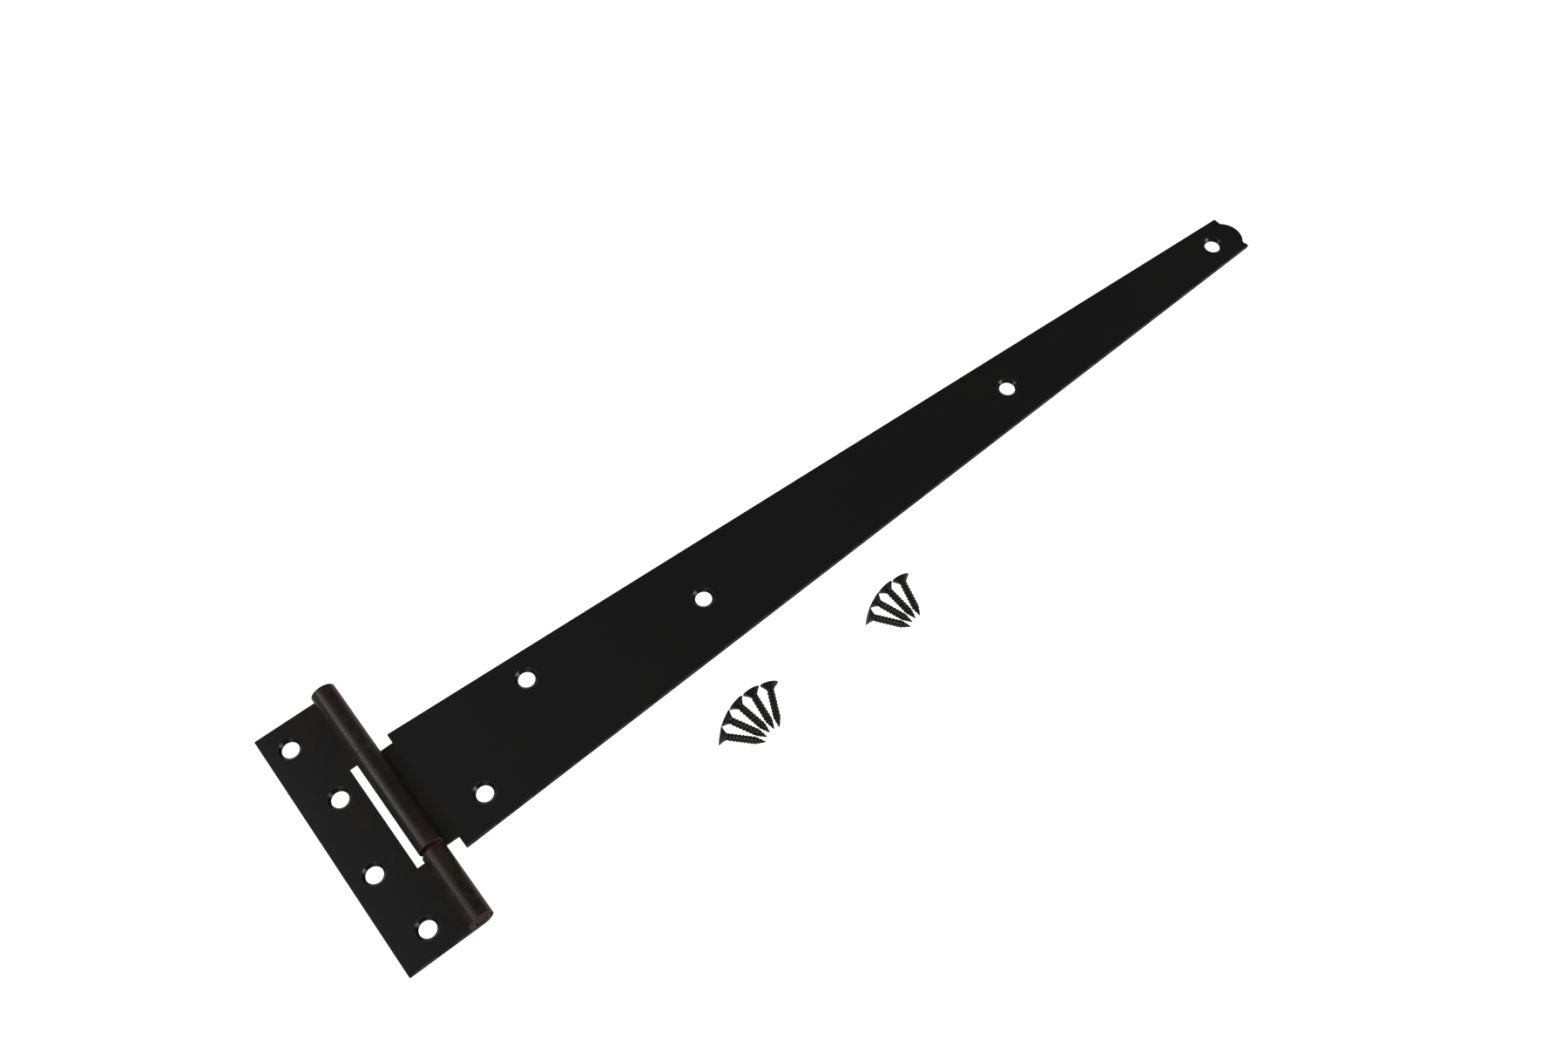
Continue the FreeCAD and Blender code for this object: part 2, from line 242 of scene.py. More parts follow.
leafFinish = {
    "black": (0.0070, 0.0070, 0.0073, 1),
    "blackWarm": (0.0085, 0.0080, 0.0074, 1),
    "barrel": (0.0100, 0.0088, 0.0084, 1),
    "bronze": (0.0430, 0.0230, 0.0130, 1),
    "rust": (0.0650, 0.0240, 0.0110, 1),
    "bare": (0.1600, 0.1550, 0.1500, 1),
    "wornBronze": (0.1500, 0.1100, 0.0800, 1),
    "roughness": 0.44,
    "barrelRoughness": 0.32,
    "sinkRoughness": 0.24,
    "cutRoughness": 0.85,
    "level": 0.30,
    "bronzeDull": 0.06,      # roughness the bronze patches add
    "barrelEdge": (5.5, 13.0),      # the brown tint fades out over these mm from the pin
    "barrelSide": (4.9, 5.6),      # and the barrel's own tone over these
    "bronzeAlong": (9.0, 26.0),      # its bronze grows over these mm from the middle
    "bronzeMiddle": 0.3,      # from this share
    "endRim": (55.6, 56.9),
    "endRimStrength": 0.3,
    "rolledRimStrength": 0.5,
    "handledBand": (-14.0, 4.5),      # faint rubbed band along the flap: centre and half width in mm
    "slow": (28.0, 0.50, 0.30),      # each pattern is scale, coverage, softness
    "bronzePatches": (330.0, 0.50, 0.16),
    "bronzeStrength": 0.75,
    "stainPatches": (120.0, 0.46, 0.14),
    "stainStrength": 0.42,
    "bandPatches": (55.0, 0.45, 0.12),
    "bandStrength": 0.28,
    "rustPatches": (210.0, 0.33, 0.06),
    "rustStrength": 0.55,
    "dullPatches": (900.0, 0.50, 0.30),
    "dullStrength": 0.07,
    "rub": (190.0, 0.6),      # scale and amount of bare metal on the sheared edges
    "grain": (2600.0, 0.000010, 60.0, 0.00006),      # fine scale and height, slow scale and height
    "drawnScale": 2200.0,      # fine lines that run along the barrel
    "drawnStretch": 0.08,
    "drawnHeight": 0.000008,
}


def makeLeafSteel(finish):
    material, tree, shader, where = newMaterial("blackLeafSteel", finish["roughness"], finish["level"])
    spot = addNode(tree, "ShaderNodeSeparateXYZ", {"Vector": where})
    across = calc(tree, "ABSOLUTE", spot.outputs["X"])
    along = calc(tree, "ABSOLUTE", spot.outputs["Y"])
    onPlate = fade(tree, across, finish["barrelEdge"], 1.0, 0.0)
    onBarrel = fade(tree, across, finish["barrelSide"], 1.0, 0.0)

    slow = addMottle(tree, where, *finish["slow"])
    colour = blendColours(tree, slow, finish["black"], finish["blackWarm"])
    colour = blendColours(tree, onBarrel, colour, finish["barrel"])

    offMiddle = fade(tree, along, finish["bronzeAlong"], finish["bronzeMiddle"], 1.0)
    bronze = product(tree, addMottle(tree, where, *finish["bronzePatches"]), onBarrel, offMiddle)
    bronzeTint = product(tree, bronze, finish["bronzeStrength"])
    stain = addMottle(tree, where, *finish["stainPatches"])
    stainTint = product(tree, stain, onPlate, finish["stainStrength"])

    middle, half = finish["handledBand"]
    offBand = calc(tree, "ABSOLUTE", calc(tree, "SUBTRACT", spot.outputs["X"], middle * mm))
    onBand = fade(tree, offBand, (0.0, half), 1.0, 0.0)
    handled = addMottle(tree, where, *finish["bandPatches"])
    bandTint = product(tree, onBand, handled, finish["bandStrength"])
    for tint in (bronzeTint, stainTint, bandTint):
        colour = blendColours(tree, tint, colour, finish["bronze"])

    rust = addMottle(tree, where, *finish["rustPatches"])
    rustTint = product(tree, rust, onBarrel, finish["rustStrength"])
    rimTint = product(tree, fade(tree, along, finish["endRim"]), onBarrel, finish["endRimStrength"])
    for tint in (rustTint, rimTint):
        colour = blendColours(tree, tint, colour, finish["rust"])

    edge = addNode(tree, "ShaderNodeAttribute", attribute_name="rim").outputs["Fac"]
    colour = blendColours(tree, addRub(tree, where, edge, *finish["rub"]), colour, finish["bare"])
    rolledRim = product(tree, edge, onBarrel, finish["rolledRimStrength"])
    colour = blendColours(tree, rolledRim, colour, finish["wornBronze"])
    plug(tree, colour, shader.inputs["Base Color"])

    dull = product(tree, addMottle(tree, where, *finish["dullPatches"]), finish["dullStrength"])
    rough = ramp(tree, onBarrel, 0.0, 1.0, finish["roughness"], finish["barrelRoughness"])
    for label in ("sink", "cut"):
        mask = addNode(tree, "ShaderNodeAttribute", attribute_name=label).outputs["Fac"]
        rough = ramp(tree, mask, 0.0, 1.0, rough, finish[label + "Roughness"])
    rough = calc(tree, "ADD", rough, dull)
    rough = calc(tree, "ADD", rough, product(tree, bronze, finish["bronzeDull"]))
    plug(tree, rough, shader.inputs["Roughness"])

    grain = addGrain(tree, where, *finish["grain"])
    stretched = addNode(tree, "ShaderNodeMapping", {
        "Vector": where, "Scale": (1.0, finish["drawnStretch"], 1.0)})
    drawn = addNode(tree, "ShaderNodeTexNoise", {
        "Vector": stretched.outputs[0], "Scale": finish["drawnScale"], "Detail": 2.0}).outputs[0]
    lines = product(tree, drawn, onBarrel, finish["drawnHeight"])
    addBump(tree, shader, calc(tree, "ADD", grain, lines))
    return material


pinFinish = {
    "dark": (0.0150, 0.0110, 0.0090, 1),
    "golden": (0.0900, 0.0520, 0.0170, 1),
    "endRed": (0.0420, 0.0150, 0.0065, 1),
    "gapShadeRing": (2.35, 2.7),      # painted shade: the end face turns dark between these radii in mm, a dark ring standing in for the shade in the gap round the pin
    "endAlong": (55.2, 56.2),      # and takes its own tone over these mm from the middle
    "endPatches": 0.55,      # its tone where it is weakest
    "jointStart": (20.5, 21.5),      # the golden stretch at the open joint comes in over these mm
    "jointEnd": (25.2, 26.0),
    "jointStrength": 0.8,
    "axisHeight": 5.0,
    "patches": (420.0, 0.55, 0.20),      # scale, coverage, softness
    "patchStrength": 0.5,
    "roughness": 0.38,
    "smoother": 0.05,
    "rougher": 0.12,
    "endRoughness": 0.75,
    "level": 0.25,
    "grain": (1800.0, 0.00002, 300.0, 0.00004),
}

screwFinish = {
    "dark": (0.0070, 0.0066, 0.0064, 1),
    "brown": (0.0200, 0.0135, 0.0095, 1),
    "bare": (0.1300, 0.1200, 0.1080, 1),
    "patches": (520.0, 0.42, 0.15),
    "rub": (700.0, 0.6),
    "roughness": 0.40,
    "smoother": 0.06,
    "rougher": 0.12,
    "level": 0.32,
    "grain": (5200.0, 0.000012, 700.0, 0.00003),
}


def patchyRoughness(tree, patches, finish):
    level = finish["roughness"]
    return ramp(tree, patches, 0.0, 1.0, level - finish["smoother"], level + finish["rougher"])


def makePinSteel(finish):
    material, tree, shader, where = newMaterial("brownPinSteel", finish["roughness"], finish["level"])
    spot = addNode(tree, "ShaderNodeSeparateXYZ", {"Vector": where})
    along = calc(tree, "ABSOLUTE", spot.outputs["Y"])
    atJoint = product(tree, fade(tree, along, finish["jointStart"]),
                      fade(tree, along, finish["jointEnd"], 1.0, 0.0))
    atEnd = fade(tree, along, finish["endAlong"])
    patches = addMottle(tree, where, *finish["patches"])
    golden = product(tree, patches, finish["patchStrength"])
    colour = blendColours(tree, golden, finish["dark"], finish["golden"])
    jointTint = product(tree, atJoint, finish["jointStrength"])
    colour = blendColours(tree, jointTint, colour, finish["golden"])

    aside = calc(tree, "POWER", spot.outputs["X"], 2.0)
    above = calc(tree, "SUBTRACT", spot.outputs["Z"], finish["axisHeight"] * mm)
    offAxis = calc(tree, "SQRT", calc(tree, "ADD", aside, calc(tree, "POWER", above, 2.0)))
    # painted shade: the red end face stops inside the ring, so the pin's own dark tone shows there as the
    # shaded gap round the pin
    onFace = product(tree, atEnd, fade(tree, offAxis, finish["gapShadeRing"], 1.0, 0.0))
    endTint = product(tree, onFace, ramp(tree, patches, 0.0, 1.0, finish["endPatches"], 1.0))
    colour = blendColours(tree, endTint, colour, finish["endRed"])
    plug(tree, colour, shader.inputs["Base Color"])

    rough = patchyRoughness(tree, patches, finish)
    plug(tree, ramp(tree, atEnd, 0.0, 1.0, rough, finish["endRoughness"]), shader.inputs["Roughness"])
    addBump(tree, shader, addGrain(tree, where, *finish["grain"]))
    return material


def makeScrewSteel(finish):
    material, tree, shader, where = newMaterial("blackScrewSteel", finish["roughness"], finish["level"])
    patches = addMottle(tree, where, *finish["patches"])
    colour = blendColours(tree, patches, finish["dark"], finish["brown"])
    crest = addNode(tree, "ShaderNodeAttribute", attribute_name="rim").outputs["Fac"]
    colour = blendColours(tree, addRub(tree, where, crest, *finish["rub"]), colour, finish["bare"])
    plug(tree, colour, shader.inputs["Base Color"])
    plug(tree, patchyRoughness(tree, patches, finish), shader.inputs["Roughness"])
    addBump(tree, shader, addGrain(tree, where, *finish["grain"]))
    return material


leafSteel = makeLeafSteel(leafFinish)
pinSteel = makePinSteel(pinFinish)
screwSteel = makeScrewSteel(screwFinish)
print("finishes made")


def settle(maker, name, material, body, node):
    view = bpy.context.evaluated_depsgraph_get()
    mesh = bpy.data.meshes.new_from_object(
        maker.evaluated_get(view), preserve_all_data_layers=True, depsgraph=view)
    mesh.name = name
    mesh.materials.clear()
    mesh.materials.append(material)
    mesh.polygons.foreach_set("material_index", [0] * len(mesh.polygons))
    bpy.data.objects.remove(maker)
    piece = bpy.data.objects.new(name, mesh)
    scene.collection.objects.link(piece)
    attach(piece, body)
    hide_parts(node)
    return piece


def addTree(maker, tree, values):
    modifier = maker.modifiers.new(tree.name, "NODES")
    modifier.node_group = tree
    sockets = {item.name: item.identifier for item in tree.interface.items_tree
               if item.item_type == "SOCKET" and item.in_out == "INPUT"}
    for label, value in values.items():
        modifier[sockets[label]] = value


sheetRoll = {
    "sheet": 2.0,
    "barrel": 5.0,      # outside radius of the roll
    "wrap": 304.7,      # degrees from the plate to the rolled end
    "steps": 44,
    "frontEdge": 0.28,      # rounding of the sheared edges
    "backEdge": 0.16,
    "edgeSteps": 4,
    "cornerSteps": 6,
    "circleSteps": 56,
    "leanTurn": 0.9,      # radians of roll over which a leaning tongue drifts
    "faceWeight": 60,      # how strongly large faces set the shading
}

holeSizes = {      # how each edge of a countersunk hole is softened, in mm
    "top": 4.6,      # radius of the countersink
    "back": 0.12,
    "backMiddle": 0.035,
    "neckUnder": 0.06,
    "neckOver": 0.05,
    "lipUnder": 0.06,
    "lipDrop": 0.02,
    "lipOut": 0.08,
}


faceMarks = ["plain", "rim", "sink", "cut"]      # what a blank's face is, by its material index


def makeRollTree():
    tree, start, end = newGroup("rollTongues", "GeometryNodeTree", [
        ("Geometry", "NodeSocketGeometry", None),
        ("Barrel Radius", "NodeSocketFloat", 0.005),
        ("Neutral Radius", "NodeSocketFloat", 0.004),
        ("Side", "NodeSocketFloat", 1.0),
        ("Lean", "NodeSocketFloat", 0.0),
        ("Lean Turn", "NodeSocketFloat", 2.5),
        ("Material", "NodeSocketMaterial", None),
    ], [("Geometry", "NodeSocketGeometry")])
    give = start.outputs
    spot = addNode(tree, "ShaderNodeSeparateXYZ", {
        "Vector": tree.nodes.new("GeometryNodeInputPosition").outputs[0]})
    out = calc(tree, "MULTIPLY", spot.outputs["X"], give["Side"])
    flat = calc(tree, "MINIMUM", out, 0.0)
    turn = calc(tree, "DIVIDE", calc(tree, "MAXIMUM", out, 0.0), give["Neutral Radius"])
    radius = calc(tree, "SUBTRACT", give["Barrel Radius"], spot.outputs["Z"])
    reach = calc(tree, "MULTIPLY", radius, calc(tree, "SINE", turn))
    across = calc(tree, "MULTIPLY", calc(tree, "ADD", flat, reach), give["Side"])
    drop = calc(tree, "MULTIPLY", radius, calc(tree, "COSINE", turn))
    up = calc(tree, "SUBTRACT", give["Barrel Radius"], drop)
    lean = calc(tree, "MULTIPLY", ramp(tree, turn, 0.0, give["Lean Turn"]), give["Lean"])
    along = calc(tree, "ADD", spot.outputs["Y"], lean)
    place = addNode(tree, "ShaderNodeCombineXYZ", {"X": across, "Y": along, "Z": up})
    kept, mark = give["Geometry"], tree.nodes.new("GeometryNodeInputMaterialIndex").outputs[0]
    for number, label in enumerate(faceMarks[1:], start=1):
        same = addNode(tree, "FunctionNodeCompare", {2: mark, 3: number},
                       data_type="INT", operation="EQUAL")
        kept = addNode(tree, "GeometryNodeStoreNamedAttribute", {
            "Geometry": kept, "Name": label, "Value": same.outputs[0]},
            data_type="FLOAT", domain="FACE").outputs[0]
    rolled = addNode(tree, "GeometryNodeSetPosition", {
        "Geometry": kept, "Position": place.outputs[0]})
    real = addNode(tree, "GeometryNodeRealizeInstances", {"Geometry": rolled.outputs[0]})
    done = addNode(tree, "GeometryNodeSetMaterial", {
        "Geometry": real.outputs[0], "Material": give["Material"]})
    plug(tree, done.outputs[0], end.inputs[0])
    return tree


rollTree = makeRollTree()


# Each corner is x, y and radius in mm, and sometimes a tie. Radius 0 stays sharp, and
# two corners with the same tie are joined by an edge across the face.
def roundCorners(corners):
    path, ties, steps = [], {}, sheetRoll["cornerSteps"]
    for number, (x, y, radius, *tie) in enumerate(corners):
        here = Vector((x, y))
        if tie:
            ties.setdefault(tie[0], []).append(len(path))
        if radius == 0:
            path.append(here)
            continue
        before = (Vector(corners[number - 1][:2]) - here).normalized()
        after = (Vector(corners[(number + 1) % len(corners)][:2]) - here).normalized()
        half = before.angle(after) / 2
        centre = here + (before + after).normalized() * (radius / math.sin(half))
        first = here + before * (radius / math.tan(half)) - centre
        last = here + after * (radius / math.tan(half)) - centre
        for step in range(steps + 1):
            share = step / steps
            path.append(centre + (first * (1 - share) + last * share).normalized() * radius)
    return path, [pair for pair in ties.values() if len(pair) == 2]


def insetLoop(loop, inset):      # moves a counterclockwise loop inwards by that many mm
    moved = []
    for number, here in enumerate(loop):
        before = (here - loop[number - 1]).normalized()
        after = (loop[(number + 1) % len(loop)] - here).normalized()
        first, second = Vector((-before.y, before.x)), Vector((-after.y, after.x))
        middle = (first + second).normalized()
        moved.append(here + middle * (inset / max(0.3, middle.dot(first))))
    return moved


def isInside(spot, loop):
    inside = False
    for number, here in enumerate(loop):
        last = loop[number - 1]
        if (here.y > spot.y) != (last.y > spot.y):
            cross = (last.x - here.x) * (spot.y - here.y) / (last.y - here.y) + here.x
            inside ^= spot.x < cross
    return inside


def edgeRings(roll):      # inset and height of each ring over a sheared edge
    sheet, back, front, steps = roll["sheet"], roll["backEdge"], roll["frontEdge"], roll["edgeSteps"]
    turns = [math.pi / 2 * step / steps for step in range(steps + 1)]
    under = [(back * (1 - math.sin(turn)), back * (1 - math.cos(turn))) for turn in turns]
    over = [(front * (1 - math.cos(turn)), sheet - front * (1 - math.sin(turn))) for turn in turns]
    return under + over


def sinkRings(sheet, radius, sizes):      # radius and height of each ring up a countersunk hole
    top, back, middle = sizes["top"], sizes["back"], sizes["backMiddle"]
    neck = sheet - (top - radius)
    return [(radius + back, 0), (radius + middle, middle), (radius, back),
            (radius, neck - sizes["neckUnder"]), (radius + sizes["neckOver"], neck + sizes["neckOver"]),
            (top - sizes["lipUnder"], sheet - sizes["lipUnder"]), (top, sheet - sizes["lipDrop"]),
            (top + sizes["lipOut"], sheet)]


def tongueSide(start, end, y, tie):      # stations along one side of a tongue, tied across it
    count = sheetRoll["steps"]
    order = range(count + 1) if abs(start) < abs(end) else range(count, -1, -1)
    far = end if abs(start) < abs(end) else start
    return [(far * step / count, y, 0, tie + str(step)) for step in order]


def makeBlank(name, corners, holes):
    outline, ties = roundCorners(corners)
    around = sheetRoll["circleSteps"]
    plain, rim, sink, cut = range(len(faceMarks))
    bm = bmesh.new()

    # A loop is its rings of spots, each with a height, and it has one mark per strip.
    loops = [[(insetLoop(outline, inset), height) for inset, height in edgeRings(sheetRoll)]]
    edge = [rim] * sheetRoll["edgeSteps"]
    marks = [edge + [cut] + edge]
    for x, y, radius in holes:
        rings = []
        for reach, height in sinkRings(sheetRoll["sheet"], radius, holeSizes):
            turns = [2 * math.pi * step / around for step in range(around)]
            circle = [Vector((x + reach * math.cos(turn), y + reach * math.sin(turn))) for turn in turns]
            rings.append((circle, height))
        loops.append(rings)
        marks.append([plain, plain, cut, sink, sink, rim, rim])

    verts = [[[bm.verts.new((spot.x * mm, spot.y * mm, height * mm)) for spot in ring]
              for ring, height in rings] for rings in loops]
    for rings, strips in zip(verts, marks):
        for under, over, strip in zip(rings, rings[1:], strips):
            for i in range(len(under)):
                j = (i + 1) % len(under)
                bm.faces.new((under[i], under[j], over[j], over[i])).material_index = strip

    for level in (0, -1):      # the back and the front face
        spots, made, edges = [], [], []
        for rings, owned in zip(loops, verts):
            ring, begin = rings[level][0], len(spots)
            spots += ring
            made += owned[level]
            edges += [(begin + i, begin + (i + 1) % len(ring)) for i in range(len(ring))]
        edges += [tuple(pair) for pair in ties]
        flat = delaunay_2d_cdt(spots, edges, [], 0, 1e-6, True)
        owner = {index: origins[0] for index, origins in enumerate(flat[3]) if origins}
        for face in flat[2]:
            middle = sum((flat[0][i] for i in face), Vector((0, 0))) / 3
            if isInside(middle, loops[0][level][0]) and not any(
                    isInside(middle, rings[level][0]) for rings in loops[1:]):
                bm.faces.new([made[owner[i]] for i in face])
    bmesh.ops.recalc_face_normals(bm, faces=bm.faces[:])
    for face in bm.faces:
        face.smooth = True
    mesh = bpy.data.meshes.new(name + "Blank")
    bm.to_mesh(mesh)
    bm.free()
    for _ in faceMarks:      # one slot per mark, or the marks are lost
        mesh.materials.append(leafSteel)
    blank = bpy.data.objects.new(name + "Blank", mesh)
    scene.collection.objects.link(blank)
    return blank


def rollLeaf(blank, node, body, side, lean):
    addTree(blank, rollTree, {
        "Barrel Radius": sheetRoll["barrel"] * mm,
        "Neutral Radius": (sheetRoll["barrel"] - sheetRoll["sheet"] / 2) * mm,
        "Side": side, "Lean": lean * mm, "Lean Turn": sheetRoll["leanTurn"], "Material": leafSteel})
    smooth = blank.modifiers.new("faceNormals", "WEIGHTED_NORMAL")
    smooth.mode, smooth.weight = "FACE_AREA_WITH_ANGLE", sheetRoll["faceWeight"]
    return settle(blank, node + "Rolled", leafSteel, body, node)


def holesOf(leaf):
    return [(m["pos_m"][0] / mm, m["pos_m"][1] / mm, m["dims"]["r_mm"])
            for m in record["mounts"] if m["kind"] == "bore" and m["name"].startswith(leaf)]


tongueLength = math.radians(sheetRoll["wrap"]) * (sheetRoll["barrel"] - sheetRoll["sheet"] / 2)

flapSizes = {
    "opening": 49.5,
    "slotReach": 7.95,
    "corner": 0.4,
}

strapSizes = {
    "neck": 47.3,
    "tongue": 47.0,
    "shoulderReach": 10.4,
    "baseWidth": 57.0,
    "endReach": 447.1,
    "endWidth": 20.6,
    "middle": -0.6,      # its centre line runs this far off the pin's middle
    "corner": 0.4,
    "earReach": 1.1,      # one end corner stands this far beyond the other
    "noseMiddle": -1.0,
    "noseWidth": 14.4,
    "noseBulge": 3.4,
    "noseHollow": 2.0,
    "noseCorner": 0.3,
    "noseSteps": 20,
    "noseSkip": 3,      # the hollow takes the place of these first steps
    "lean": 0.95,      # the rolled tongue drifts this far along the pin
}


def makeFlap(sizes):
    low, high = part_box("flap_leaf")
    left, end = low.x / mm, high.y / mm
    gap, roll = sizes["opening"] / 2, tongueLength
    corners = [(left, -end, sizes["corner"])]
    corners += tongueSide(0, roll, -end, "near") + tongueSide(roll, 0, -gap, "near")
    corners += [(-sizes["slotReach"], -gap, 0), (-sizes["slotReach"], gap, 0)]
    corners += tongueSide(0, roll, gap, "far") + tongueSide(roll, 0, end, "far")
    corners += [(left, end, sizes["corner"])]
    blank = makeBlank("flap", corners, holesOf("flap"))
    return rollLeaf(blank, "flap_leaf", "flap", 1.0, 0.0)


def makeStrap(sizes):
    neck, base, end = sizes["neck"] / 2, sizes["baseWidth"] / 2, sizes["endWidth"] / 2
    middle, foot, bulge = sizes["middle"], sizes["noseWidth"] / 2, sizes["noseBulge"]
    noseMiddle = sizes["noseMiddle"]
    shoulder, reach, roll = sizes["shoulderReach"], sizes["endReach"], -tongueLength
    corner = sizes["corner"]
    radius = (bulge ** 2 + foot ** 2) / (2 * bulge)
    swing, centre = math.asin(foot / radius), reach + bulge - radius
    nose = []
    for step in range(sizes["noseSkip"], sizes["noseSteps"]):
        angle = swing * (2 * step / sizes["noseSteps"] - 1)
        nose.append((centre + radius * math.cos(angle), noseMiddle + radius * math.sin(angle), 0))
    tongue = sizes["tongue"] / 2
    corners = tongueSide(roll, 0, -tongue, "roll")
    corners += [(shoulder, -neck, 0), (shoulder, middle - base, corner)]
    corners += [(reach + sizes["earReach"], middle - end, corner),
                (reach, noseMiddle - foot, sizes["noseHollow"])] + nose
    corners += [(reach, noseMiddle + foot, sizes["noseCorner"]), (reach, middle + end, corner)]
    corners += [(shoulder, middle + base, corner), (shoulder, neck, 0)]
    corners += tongueSide(0, roll, tongue, "roll")
    blank = makeBlank("strap", corners, holesOf("strap"))
    return rollLeaf(blank, "strap_leaf", "strap", -1.0, sizes["lean"])


flapLeaf = makeFlap(flapSizes)
print("flap rolled:", len(flapLeaf.data.polygons), "faces")
strapLeaf = makeStrap(strapSizes)
print("strap rolled:", len(strapLeaf.data.polygons), "faces")


def makeTurningTree():
    tree, start, end = newGroup("turnedSteel", "GeometryNodeTree", [
        ("Profile", "NodeSocketGeometry", None),
        ("Stations", "NodeSocketInt", 10),
        ("Around", "NodeSocketInt", 40),
        ("Pitch", "NodeSocketFloat", 0.0014),
        ("Root Share", "NodeSocketFloat", 0.3),
        ("Crest Shape", "NodeSocketFloat", 1.2),
        ("Material", "NodeSocketMaterial", None),
    ], [("Geometry", "NodeSocketGeometry")])
    give = start.outputs
    ringCount = calc(tree, "ADD", give["Around"], 1)
    grid = addNode(tree, "GeometryNodeMeshGrid", {
        "Size X": 1.0, "Size Y": 1.0, "Vertices X": give["Stations"], "Vertices Y": ringCount})
    index = tree.nodes.new("GeometryNodeInputIndex").outputs[0]
    station = calc(tree, "FLOOR", calc(tree, "DIVIDE", calc(tree, "ADD", index, 0.5), ringCount))
    ring = calc(tree, "SUBTRACT", index, calc(tree, "MULTIPLY", station, ringCount))
    sample = addNode(tree, "GeometryNodeSampleIndex", {
        "Geometry": give["Profile"], "Index": station,
        "Value": tree.nodes.new("GeometryNodeInputPosition").outputs[0]},
        data_type="FLOAT_VECTOR", domain="POINT")
    data = addNode(tree, "ShaderNodeSeparateXYZ", {"Vector": sample.outputs[0]})
    share = calc(tree, "DIVIDE", ring, give["Around"])
    phase = calc(tree, "SUBTRACT", calc(tree, "DIVIDE", data.outputs["X"], give["Pitch"]), share)
    saw = calc(tree, "FRACT", phase)
    peak = calc(tree, "SUBTRACT", 1.0, calc(tree, "ABSOLUTE", calc(
        tree, "SUBTRACT", calc(tree, "MULTIPLY", saw, 2.0), 1.0)))
    crest = calc(tree, "POWER", ramp(tree, peak, give["Root Share"], 1.0, shape="LINEAR"),
                 give["Crest Shape"])
    lift = calc(tree, "MULTIPLY", crest, data.outputs["Y"])
    radius = calc(tree, "ADD", data.outputs["Z"], lift)
    angle = calc(tree, "MULTIPLY", share, 2 * math.pi)
    place = addNode(tree, "ShaderNodeCombineXYZ", {
        "X": calc(tree, "MULTIPLY", data.outputs["X"], -1.0),
        "Y": calc(tree, "MULTIPLY", radius, calc(tree, "SINE", angle)),
        "Z": calc(tree, "MULTIPLY", radius, calc(tree, "COSINE", angle))})
    wearFrom, wearFull = 0.0002, 0.00034      # thread heights between which the crest is rubbed
    tall = ramp(tree, lift, wearFrom, wearFull)
    weld = 0.000002
    kept = addNode(tree, "GeometryNodeStoreNamedAttribute", {
        "Geometry": grid.outputs[0], "Name": "rim", "Value": tall},
        data_type="FLOAT", domain="POINT")
    spun = addNode(tree, "GeometryNodeSetPosition", {
        "Geometry": kept.outputs[0], "Position": place.outputs[0]})
    closed = addNode(tree, "GeometryNodeMergeByDistance", {
        "Geometry": spun.outputs[0], "Distance": weld})
    real = addNode(tree, "GeometryNodeRealizeInstances", {"Geometry": closed.outputs[0]})
    done = addNode(tree, "GeometryNodeSetMaterial", {
        "Geometry": real.outputs[0], "Material": give["Material"]})
    plug(tree, done.outputs[0], end.inputs[0])
    return tree


turningTree = makeTurningTree()


def makeRecessTree():      # cross recess cut into the face at x = 0
    tree, start, end = newGroup("crossRecess", "GeometryNodeTree", [
        ("Geometry", "NodeSocketGeometry", None),
        ("Span", "NodeSocketFloat", 0.0042),
        ("Width", "NodeSocketFloat", 0.0011),
        ("Depth", "NodeSocketFloat", 0.0016),
        ("Foot Share", "NodeSocketFloat", 0.45),
        ("Material", "NodeSocketMaterial", None),
    ], [("Geometry", "NodeSocketGeometry")])
    give = start.outputs
    spare = 0.0004      # the cutter stands this far out of the face
    narrowest = 0.5      # share of its width a foot of no size would have
    tall = calc(tree, "ADD", give["Depth"], spare)
    size = addNode(tree, "ShaderNodeCombineXYZ", {"X": tall, "Y": give["Span"], "Z": give["Width"]})
    block = addNode(tree, "GeometryNodeMeshCube", {"Size": size.outputs[0]})
    spot = addNode(tree, "ShaderNodeSeparateXYZ", {
        "Vector": tree.nodes.new("GeometryNodeInputPosition").outputs[0]})
    deep = calc(tree, "LESS_THAN", spot.outputs["X"], 0.0)
    slim = calc(tree, "SUBTRACT", 1.0, calc(tree, "MULTIPLY", deep, calc(
        tree, "SUBTRACT", 1.0, give["Foot Share"])))
    sunk = calc(tree, "SUBTRACT", spot.outputs["X"], calc(tree, "SUBTRACT", calc(
        tree, "MULTIPLY", tall, 0.5), spare))
    place = addNode(tree, "ShaderNodeCombineXYZ", {
        "X": sunk, "Y": calc(tree, "MULTIPLY", spot.outputs["Y"], slim),
        "Z": calc(tree, "MULTIPLY", spot.outputs["Z"], ramp(
            tree, slim, 0.0, 1.0, narrowest, 1.0, shape="LINEAR"))})
    arm = addNode(tree, "GeometryNodeSetPosition", {
        "Geometry": block.outputs[0], "Position": place.outputs[0]})
    turned = addNode(tree, "GeometryNodeTransform", {
        "Geometry": arm.outputs[0], "Rotation": (math.pi / 2, 0, 0)})
    cut = addNode(tree, "GeometryNodeMeshBoolean", operation="DIFFERENCE")
    tree.links.new(give["Geometry"], cut.inputs["Mesh 1"])
    tree.links.new(arm.outputs[0], cut.inputs["Mesh 2"])
    second = addNode(tree, "GeometryNodeMeshBoolean", operation="DIFFERENCE")
    tree.links.new(cut.outputs[0], second.inputs["Mesh 1"])
    tree.links.new(turned.outputs[0], second.inputs["Mesh 2"])
    real = addNode(tree, "GeometryNodeRealizeInstances", {"Geometry": second.outputs[0]})
    done = addNode(tree, "GeometryNodeSetMaterial", {
        "Geometry": real.outputs[0], "Material": give["Material"]})
    plug(tree, done.outputs[0], end.inputs[0])
    return tree


recessTree = makeRecessTree()


